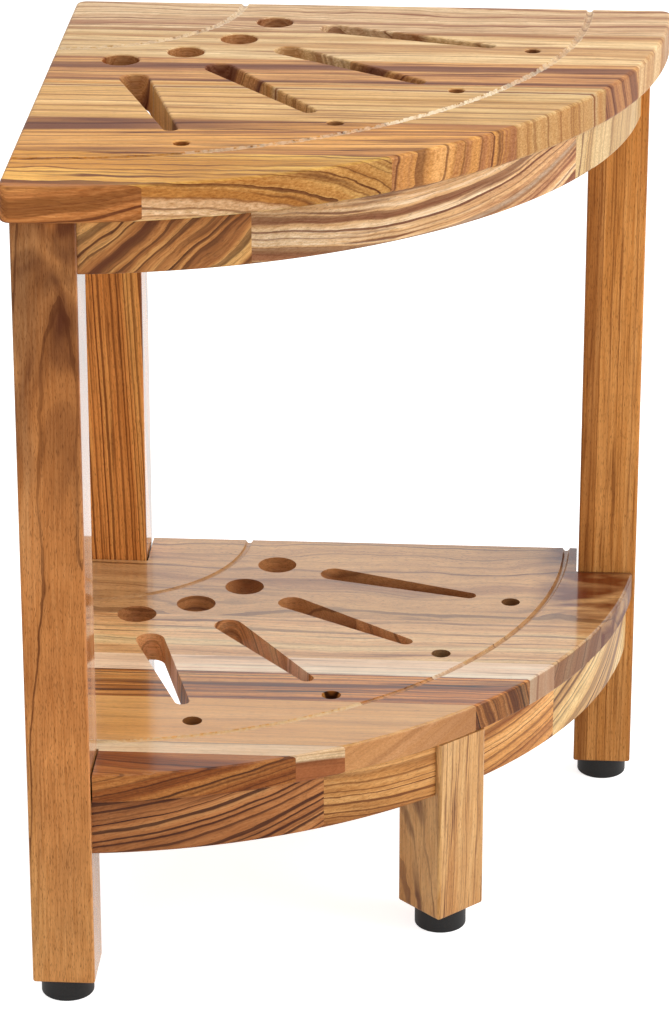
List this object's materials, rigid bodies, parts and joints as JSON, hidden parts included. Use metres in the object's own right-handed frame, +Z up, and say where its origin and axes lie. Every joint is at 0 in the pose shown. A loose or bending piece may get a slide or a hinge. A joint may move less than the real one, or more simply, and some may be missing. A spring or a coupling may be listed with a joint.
{
  "type": "corner shower stool",
  "caption": "Quarter-round teak corner stool for a shower, with a slotted drain seat, a matching lower shelf, square legs, curved aprons and screw-in levelling feet.",
  "frame": {"origin": "on the floor, under the centre of the square that holds the quarter-round seat", "axes": "+Z up, +X along the seat's straight back edge away from the corner, -Y along the straight left edge away from the corner, so the right-angled corner is at -X and +Y"},
  "size_m": [0.3299, 0.3299, 0.457],
  "materials": {
    "seat_teak": "oiled teak, satin",
    "shelf_teak": "oiled teak, satin",
    "frame_teak": "oiled teak, satin",
    "dowel_wood": "plain turned hardwood",
    "screw_steel": "stainless steel",
    "stud_steel": "stainless steel",
    "foot_rubber": "matte black",
    "insert_brass": "plain turned"
  },
  "bodies": {
    "stool": {"back_leg": "frame_teak", "front_post": "frame_teak", "left_leg": "frame_teak", "post_screws": "screw_steel", "right_leg": "frame_teak", "seat_apron_left": "frame_teak", "seat_apron_middle": "frame_teak", "seat_apron_right": "frame_teak", "seat_frame_dowels": "dowel_wood", "seat_plank_1": "seat_teak", "seat_plank_2": "seat_teak", "seat_plank_3": "seat_teak", "seat_plank_4": "seat_teak", "seat_plank_5": "seat_teak", "seat_plank_6": "seat_teak", "seat_plank_7": "seat_teak", "seat_rail_back": "frame_teak", "seat_rail_left": "frame_teak", "seat_screws": "screw_steel", "shelf_apron_left": "frame_teak", "shelf_apron_middle": "frame_teak", "shelf_apron_right": "frame_teak", "shelf_frame_dowels": "dowel_wood", "shelf_plank_1": "shelf_teak", "shelf_plank_2": "shelf_teak", "shelf_plank_3": "shelf_teak", "shelf_plank_4": "shelf_teak", "shelf_plank_5": "shelf_teak", "shelf_plank_6": "shelf_teak", "shelf_plank_7": "shelf_teak", "shelf_rail_back": "frame_teak", "shelf_rail_left": "frame_teak", "shelf_screws": "screw_steel", "threaded_inserts": "insert_brass"},
    "left_foot": {"left_foot_pad": "foot_rubber", "left_foot_stud": "stud_steel"},
    "back_foot": {"back_foot_pad": "foot_rubber", "back_foot_stud": "stud_steel"},
    "right_foot": {"right_foot_pad": "foot_rubber", "right_foot_stud": "stud_steel"},
    "front_foot": {"front_foot_pad": "foot_rubber", "front_foot_stud": "stud_steel"}
  },
  "joints": [
    {"name": "left_foot_screw", "type": "slide", "parent": "stool", "child": "left_foot", "axis": [0, 0, -1], "range_m": [0, 0.008]},
    {"name": "back_foot_screw", "type": "slide", "parent": "stool", "child": "back_foot", "axis": [0, 0, -1], "range_m": [0, 0.008]},
    {"name": "right_foot_screw", "type": "slide", "parent": "stool", "child": "right_foot", "axis": [0, 0, -1], "range_m": [0, 0.008]},
    {"name": "front_foot_screw", "type": "slide", "parent": "stool", "child": "front_foot", "axis": [0, 0, -1], "range_m": [0, 0.008]}
  ]
}
